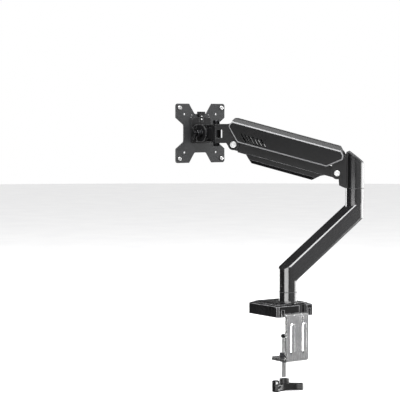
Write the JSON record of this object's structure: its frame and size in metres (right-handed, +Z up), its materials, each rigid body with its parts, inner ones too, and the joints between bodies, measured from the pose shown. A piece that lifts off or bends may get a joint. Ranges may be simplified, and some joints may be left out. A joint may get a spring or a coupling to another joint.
{
  "type": "monitor arm",
  "caption": "Desk-clamp monitor arm: swivel post, bent lower arm, gas-spring parallelogram upper arm and a tilting, rotating square screen plate.",
  "frame": {"origin": "on the base post's swivel axis, in the plane of the desk top under the base", "axes": "+X along the desk's rear edge, +Y from that edge towards the user, +Z up"},
  "size_m": [0.2651, 0.2848, 0.535],
  "materials": {
    "base_pad": "soft foam rubber",
    "base_cover": "semi-gloss moulded black",
    "clamp_bracket": "zinc-plated, faintly brushed",
    "spindle_bolt": "black oxide",
    "foot_nut": "black oxide",
    "rear_bolts": "black oxide",
    "bolt_lugs": "satin black powder coat",
    "cable_clip": "matt moulded black",
    "post_spindle": "bright zinc plate",
    "post_collar": "gloss black powder coat",
    "lower_swivel_washer": "self-lubricating polymer",
    "pressure_tip": "matt moulded black",
    "clamp_screw": "bright zinc plate",
    "clamp_knob": "matt moulded black, fine grain",
    "lower_arm": "gloss black powder coat over a casting",
    "lower_cable_cover": "matt moulded black",
    "lower_bush": "self-lubricating polymer",
    "set_screw": "black oxide",
    "lower_retainer": "bright zinc plate",
    "elbow_spindle": "bright zinc plate",
    "upper_swivel_washer": "self-lubricating polymer",
    "elbow_knuckle": "gloss black powder coat over a casting",
    "elbow_cap": "semi-gloss moulded black",
    "elbow_bush": "self-lubricating polymer",
    "elbow_bracket": "satin black powder coat",
    "bracket_screws": "black oxide",
    "elbow_upper_pin": "bright zinc plate",
    "elbow_lower_bolt": "bright zinc plate",
    "screw_seat": "satin black powder coat",
    "tension_screw": "black oxide",
    "tension_block": "bright zinc plate",
    "anchor_pin": "bright zinc plate",
    "gas_cylinder": "gloss black enamel",
    "cylinder_eye": "gloss black enamel",
    "gas_rod": "hard-chromed",
    "rod_eye": "bright zinc plate",
    "upper_link": "satin black powder coat",
    "upper_link_bushes": "plain machined",
    "spring_front_pin": "bright zinc plate",
    "arm_cover": "semi-gloss moulded black",
    "cover_screws": "black oxide",
    "lower_link": "satin black powder coat",
    "lower_link_bushes": "plain machined",
    "cable_cover": "semi-gloss moulded black",
    "front_bracket": "satin black powder coat",
    "front_bolts": "bright zinc plate",
    "pan_bolt": "black oxide",
    "pan_nut": "black oxide",
    "pan_head": "satin black powder coat",
    "pan_bushes": "plain machined",
    "tilt_bracket": "satin black powder coat",
    "tilt_bolt": "black oxide",
    "tilt_washers": "black oxide",
    "tilt_nut": "black oxide",
    "rotation_rivet": "black oxide",
    "vesa_plate": "fine-textured dark grey powder coat",
    "release_plate": "satin black powder coat",
    "release_tab": "matt moulded black",
    "vesa_screws": "bright zinc plate",
    "release_screws": "bright zinc plate"
  },
  "bodies": {
    "clamp_base": {"base_pad": "base_pad", "base_cover": "base_cover", "clamp_bracket": "clamp_bracket", "spindle_bolt": "spindle_bolt", "foot_nut": "foot_nut", "rear_bolts": "rear_bolts", "bolt_lugs": "bolt_lugs", "cable_clip": "cable_clip", "post_spindle": "post_spindle", "post_collar": "post_collar", "lower_swivel_washer": "lower_swivel_washer"},
    "clamp_tip": {"pressure_tip": "pressure_tip"},
    "clamp_spindle": {"clamp_screw": "clamp_screw", "clamp_knob": "clamp_knob"},
    "lower_arm": {"lower_arm": "lower_arm", "lower_cable_cover": "lower_cable_cover", "lower_bush": "lower_bush", "set_screw": "set_screw", "lower_retainer": "lower_retainer", "elbow_spindle": "elbow_spindle", "upper_swivel_washer": "upper_swivel_washer"},
    "elbow": {"elbow_knuckle": "elbow_knuckle", "elbow_cap": "elbow_cap", "elbow_bush": "elbow_bush", "elbow_bracket": "elbow_bracket", "bracket_screws": "bracket_screws", "elbow_upper_pin": "elbow_upper_pin", "elbow_lower_bolt": "elbow_lower_bolt", "screw_seat": "screw_seat"},
    "tension_screw": {"tension_screw": "tension_screw"},
    "tension_block": {"tension_block": "tension_block", "anchor_pin": "anchor_pin"},
    "upper_arm": {"upper_link": "upper_link", "upper_link_bushes": "upper_link_bushes", "spring_front_pin": "spring_front_pin", "arm_cover": "arm_cover", "cover_screws": "cover_screws"},
    "gas_cylinder": {"gas_cylinder": "gas_cylinder", "cylinder_eye": "cylinder_eye"},
    "gas_rod": {"gas_rod": "gas_rod", "rod_eye": "rod_eye"},
    "lower_link": {"lower_link": "lower_link", "lower_link_bushes": "lower_link_bushes", "cable_cover": "cable_cover"},
    "front_bracket": {"front_bracket": "front_bracket", "front_bolts": "front_bolts", "pan_bolt": "pan_bolt", "pan_nut": "pan_nut"},
    "pan_head": {"pan_head": "pan_head", "pan_bushes": "pan_bushes"},
    "tilt_head": {"tilt_bracket": "tilt_bracket", "tilt_bolt": "tilt_bolt", "tilt_washers": "tilt_washers", "tilt_nut": "tilt_nut", "rotation_rivet": "rotation_rivet"},
    "screen_plate": {"vesa_plate": "vesa_plate", "release_plate": "release_plate", "release_tab": "release_tab", "vesa_screws": "vesa_screws", "release_screws": "release_screws"}
  },
  "joints": [
    {"name": "base_swivel", "type": "hinge", "parent": "clamp_base", "child": "lower_arm", "pos_m": [0, 0, 0.0444], "axis": [0, 0, 1], "range_deg": [-180, 180]},
    {"name": "elbow_swivel", "type": "hinge", "parent": "lower_arm", "child": "elbow", "pos_m": [0.16, 0, 0.2332], "axis": [0, 0, 1], "range_deg": [-180, 90]},
    {"name": "lift", "type": "hinge", "parent": "elbow", "child": "upper_arm", "pos_m": [0.13794, 0.02206, 0.296], "axis": [0.7071, 0.7071, 0], "range_deg": [-36, 22]},
    {"name": "lower_link_swing", "type": "hinge", "parent": "elbow", "child": "lower_link", "pos_m": [0.13794, 0.02206, 0.262], "axis": [0.7071, 0.7071, 0], "range_deg": [-36, 22]},
    {"name": "head_level", "type": "hinge", "parent": "upper_arm", "child": "front_bracket", "pos_m": [-0.00345, 0.16345, 0.34958], "axis": [0.7071, 0.7071, 0], "range_deg": [-22, 36]},
    {"name": "pan", "type": "hinge", "parent": "front_bracket", "child": "pan_head", "pos_m": [-0.02961, 0.18961, 0.337], "axis": [0, 0, 1], "range_deg": [-3, 93]},
    {"name": "tilt", "type": "hinge", "parent": "pan_head", "child": "tilt_head", "pos_m": [-0.02961, 0.22261, 0.337], "axis": [1, 0, 0], "range_deg": [-45, 45]},
    {"name": "plate_rotation", "type": "hinge", "parent": "tilt_head", "child": "screen_plate", "pos_m": [-0.02961, 0.24661, 0.337], "axis": [0, 1, 0], "range_deg": [-90, 90]},
    {"name": "clamp_travel", "type": "slide", "parent": "clamp_base", "child": "clamp_tip", "axis": [0, 0, 1], "range_m": [-0.0241, 0.0261]},
    {"name": "clamp_turn", "type": "hinge", "parent": "clamp_tip", "child": "clamp_spindle", "pos_m": [0, 0.0108, -0.08], "axis": [0, 0, 1], "range_deg": [-5760, 6240]},
    {"name": "tension_turn", "type": "hinge", "parent": "elbow", "child": "tension_screw", "pos_m": [0.14657, 0.01344, 0.266], "axis": [0, 0, 1], "range_deg": [-432.5, 432.5]},
    {"name": "tension_slide", "type": "slide", "parent": "elbow", "child": "tension_block", "axis": [0, 0, 1], "range_m": [-0.0015, 0.0015]},
    {"name": "spring_swing", "type": "hinge", "parent": "upper_arm", "child": "gas_cylinder", "pos_m": [0.02414, 0.13586, 0.33291], "axis": [0.7071, 0.7071, 0], "range_deg": [-0.45, 0.45]},
    {"name": "spring_stroke", "type": "slide", "parent": "gas_cylinder", "child": "gas_rod", "axis": [0.6719, -0.6719, -0.3118], "range_m": [-0.0102, 0.0063]}
  ],
  "couplings": [
    {"joint": "lower_link_swing", "follows": "lift", "ratio": 1},
    {"joint": "head_level", "follows": "lift", "ratio": -1},
    {"joint": "spring_stroke", "follows": "lift", "m_per_rad": 0.016},
    {"joint": "clamp_travel", "follows": "clamp_turn", "m_per_rad": 0.00023873},
    {"joint": "tension_turn", "follows": "tension_slide", "rad_per_m": -5026.5},
    {"joint": "spring_swing", "follows": "tension_slide", "rad_per_m": -5.0265}
  ]
}
